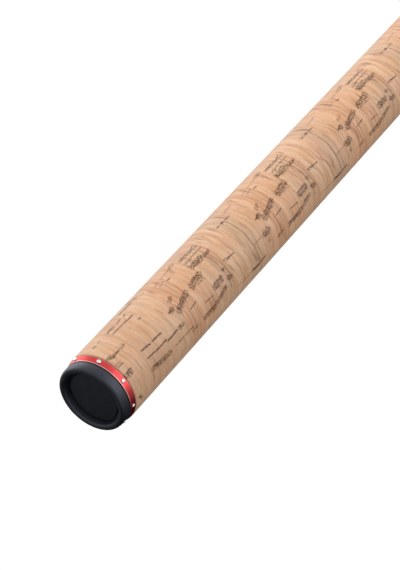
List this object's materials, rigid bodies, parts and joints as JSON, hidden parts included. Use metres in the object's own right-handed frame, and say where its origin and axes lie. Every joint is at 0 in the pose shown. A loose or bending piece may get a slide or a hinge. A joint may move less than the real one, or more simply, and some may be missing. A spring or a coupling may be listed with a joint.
{
  "type": "boat rod",
  "caption": "Boat fishing rod with a thick cork-pattern rear grip, red studded butt ring, dished rubber butt cap, reel seat, slip-over ferrule and double-foot line guides.",
  "frame": {"origin": "on the rod's axis, in the plane of the butt cap's rim", "axes": "+X along the rod from the butt to the tip, +Z towards the guides and the reel's side"},
  "size_m": [1.8327, 0.0346, 0.0475],
  "materials": {
    "rubber": "matte",
    "red_anodised": "satin",
    "chrome": "polished",
    "cork_print": "satin",
    "eva_foam": "matte",
    "blank": "gloss",
    "graphite": "satin",
    "hood_metal": "satin",
    "liner": "matte",
    "fibre": "matte",
    "wrap_thread": "gloss",
    "frame_steel": "satin",
    "ceramic": "gloss"
  },
  "bodies": {
    "butt_section": {"lower_blank": "blank", "blank_bung": "fibre", "butt_cap": "rubber", "butt_ring": "red_anodised", "ring_stud_1": "chrome", "ring_stud_2": "chrome", "ring_stud_3": "chrome", "ring_stud_4": "chrome", "ring_stud_5": "chrome", "ring_stud_6": "chrome", "ring_stud_7": "chrome", "ring_stud_8": "chrome", "rear_grip_core": "eva_foam", "rear_grip_skin": "cork_print", "rear_check": "red_anodised", "seat_body": "graphite", "seat_arbor_1": "fibre", "seat_arbor_2": "fibre", "fixed_hood": "hood_metal", "fixed_hood_liner": "liner", "seat_check": "red_anodised", "foregrip_core": "eva_foam", "foregrip_skin": "cork_print", "front_check": "red_anodised", "trim_wrap": "wrap_thread", "guide_1_frame": "frame_steel", "guide_1_ceramic": "ceramic", "guide_1_rear_wrap": "wrap_thread", "guide_1_front_wrap": "wrap_thread"},
    "tip_section": {"tip_blank": "blank", "ferrule_wrap": "wrap_thread", "guide_2_frame": "frame_steel", "guide_2_ceramic": "ceramic", "guide_2_rear_wrap": "wrap_thread", "guide_2_front_wrap": "wrap_thread", "guide_3_frame": "frame_steel", "guide_3_ceramic": "ceramic", "guide_3_rear_wrap": "wrap_thread", "guide_3_front_wrap": "wrap_thread", "guide_4_frame": "frame_steel", "guide_4_ceramic": "ceramic", "guide_4_rear_wrap": "wrap_thread", "guide_4_front_wrap": "wrap_thread", "guide_5_frame": "frame_steel", "guide_5_ceramic": "ceramic", "guide_5_rear_wrap": "wrap_thread", "guide_5_front_wrap": "wrap_thread", "tip_frame": "frame_steel", "tip_ceramic": "ceramic", "tip_wrap": "wrap_thread"},
    "sliding_hood": {"sliding_hood": "hood_metal", "sliding_hood_liner": "liner"},
    "lock_nut": {"lock_nut": "red_anodised"}
  },
  "joints": [
    {"name": "ferrule_pull", "type": "slide", "parent": "butt_section", "child": "tip_section", "axis": [1, 0, 0], "range_m": [0, 0.08]},
    {"name": "hood_slide", "type": "slide", "parent": "butt_section", "child": "sliding_hood", "axis": [1, 0, 0], "range_m": [-0.012, 0.024]},
    {"name": "nut_turn", "type": "hinge", "parent": "sliding_hood", "child": "lock_nut", "pos_m": [0.46, 0, 0], "axis": [1, 0, 0], "range_deg": [-1440, 2880]}
  ],
  "couplings": [
    {"joint": "hood_slide", "follows": "nut_turn", "m_per_rad": 0.00047745}
  ]
}
